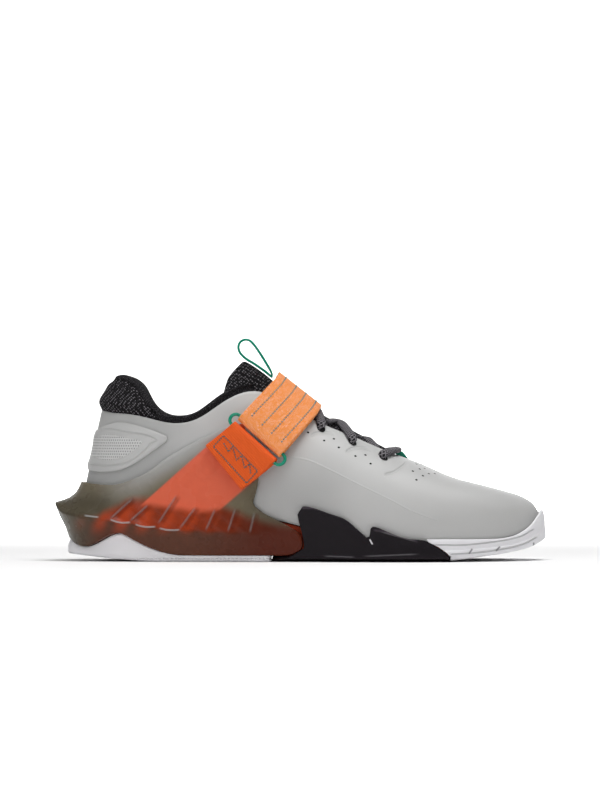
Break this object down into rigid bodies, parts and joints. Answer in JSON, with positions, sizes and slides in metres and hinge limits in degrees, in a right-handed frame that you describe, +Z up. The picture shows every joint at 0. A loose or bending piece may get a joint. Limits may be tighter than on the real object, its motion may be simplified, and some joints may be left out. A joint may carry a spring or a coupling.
{
  "type": "weightlifting shoe",
  "caption": "Right weightlifting shoe with a raised heel in a finned cage, hollow upper, padded collar, laces and an instep strap through a ring.",
  "frame": {"origin": "on the floor, at the middle of the width under the heel flat of the outsole", "axes": "+X from heel to toe, +Y to the medial side, +Z up"},
  "size_m": [0.3018, 0.1069, 0.1357],
  "materials": {
    "upper_skin": "matte",
    "black_knit": "matte",
    "insole_cloth": "matte",
    "midsole_foam": "matte",
    "smoky_cage": "gloss",
    "white_rubber": "satin",
    "black_rubber": "satin",
    "counter_film": "satin",
    "orange_webbing": "matte",
    "green_cord": "satin",
    "black_lace": "matte"
  },
  "bodies": {
    "root": {"upper": "upper_skin", "collar": "black_knit", "tongue": "black_knit", "insole": "insole_cloth", "midsole": "midsole_foam", "heel_cage": "smoky_cage", "heel_outsole": "white_rubber", "forefoot_outsole": "white_rubber", "midfoot_wrap": "black_rubber", "heel_counter": "counter_film", "strap": "orange_webbing", "strap_anchor": "orange_webbing", "strap_ring": "green_cord", "pull_loop": "green_cord", "lace_crossing_1": "black_lace", "lace_crossing_2": "black_lace", "lace_crossing_3": "black_lace", "lace_bar": "black_lace", "throat_tab": "green_cord"}
  },
  "joints": []
}
